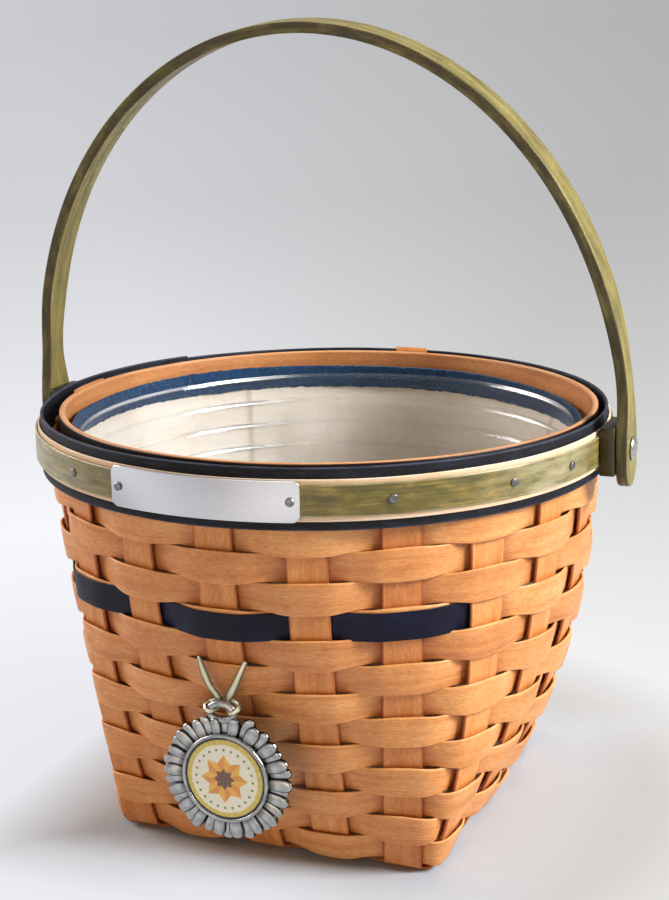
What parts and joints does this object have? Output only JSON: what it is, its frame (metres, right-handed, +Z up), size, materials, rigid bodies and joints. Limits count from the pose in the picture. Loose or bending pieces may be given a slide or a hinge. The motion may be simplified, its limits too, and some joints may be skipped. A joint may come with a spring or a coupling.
{
  "type": "splint basket",
  "caption": "Woven splint basket, square base and round banded rim, with a swing handle, cloth liner, clear protector and a tie-on pendant.",
  "frame": {"origin": "centre of the woven base, on its resting plane", "axes": "+X towards the right-hand handle ear, -Y out of the front face with the plate, +Z up"},
  "size_m": [0.2718, 0.2457, 0.3349],
  "materials": {
    "maple_stake": "honey-stained splint",
    "maple_weaver": "honey-stained splint",
    "navy_weaver": "navy-stained splint",
    "maple_band": "honey-stained splint",
    "navy_band": "navy-stained splint",
    "natural_band": "natural splint",
    "green_band": "olive-stained splint with golden grain",
    "ear_wood": "dark olive stain",
    "handle_wood": "olive stain, worn edges",
    "rivet_steel": "domed, satin",
    "nail_steel": "satin",
    "plate_metal": "brushed",
    "liner_cotton": "plain weave cotton",
    "denim": "blue twill",
    "clear_plastic": "clear, thin",
    "pewter": "antiqued pewter, dark recesses",
    "printed_disc": "printed quilt-star design under a clear dome",
    "cord": "olive and gold twisted cord"
  },
  "bodies": {
    "basket": {"stake_lengthwise_1": "maple_stake", "stake_lengthwise_2": "maple_stake", "stake_lengthwise_3": "maple_stake", "stake_lengthwise_4": "maple_stake", "stake_lengthwise_5": "maple_stake", "stake_crosswise_1": "maple_stake", "stake_crosswise_2": "maple_stake", "stake_crosswise_3": "maple_stake", "stake_crosswise_4": "maple_stake", "stake_crosswise_5": "maple_stake", "weaver_row_01": "maple_weaver", "weaver_row_02": "maple_weaver", "weaver_row_03": "maple_weaver", "weaver_row_04": "maple_weaver", "weaver_row_05": "maple_weaver", "weaver_row_06": "maple_weaver", "weaver_row_07": "maple_weaver", "weaver_row_08": "maple_weaver", "weaver_row_09": "maple_weaver", "weaver_row_10": "maple_weaver", "weaver_row_11": "maple_weaver", "weaver_row_12": "maple_weaver", "weaver_row_13": "maple_weaver", "weaver_row_14": "maple_weaver", "navy_accent_strip": "navy_weaver", "inner_band": "maple_band", "navy_band": "navy_band", "natural_band": "natural_band", "green_band": "green_band", "ear_left": "ear_wood", "ear_right": "ear_wood", "rivet_left": "rivet_steel", "rivet_right": "rivet_steel", "name_plate": "plate_metal", "plate_tack_left": "nail_steel", "plate_tack_right": "nail_steel", "band_nail_1": "nail_steel", "band_nail_2": "nail_steel", "band_nail_3": "nail_steel", "band_nail_4": "nail_steel", "band_nail_5": "nail_steel", "band_nail_6": "nail_steel", "liner": "liner_cotton", "liner_trim": "denim", "pendant_cord": "cord"},
    "handle": {"handle": "handle_wood"},
    "protector": {"protector": "clear_plastic"},
    "pendant": {"pendant_frame": "pewter", "pendant_insert": "printed_disc"}
  },
  "joints": [
    {"name": "handle_swing", "type": "hinge", "parent": "basket", "child": "handle", "pos_m": [0, 0, 0.1648], "axis": [1, 0, 0], "range_deg": [-126, 114]},
    {"name": "protector_lift", "type": "slide", "parent": "basket", "child": "protector", "axis": [0, 0, 1], "range_m": [0, 0.09]},
    {"name": "pendant_swing", "type": "hinge", "parent": "basket", "child": "pendant", "pos_m": [0.0007, -0.11231, 0.0803], "axis": [-1, 0, 0], "range_deg": [-12, 60]}
  ]
}
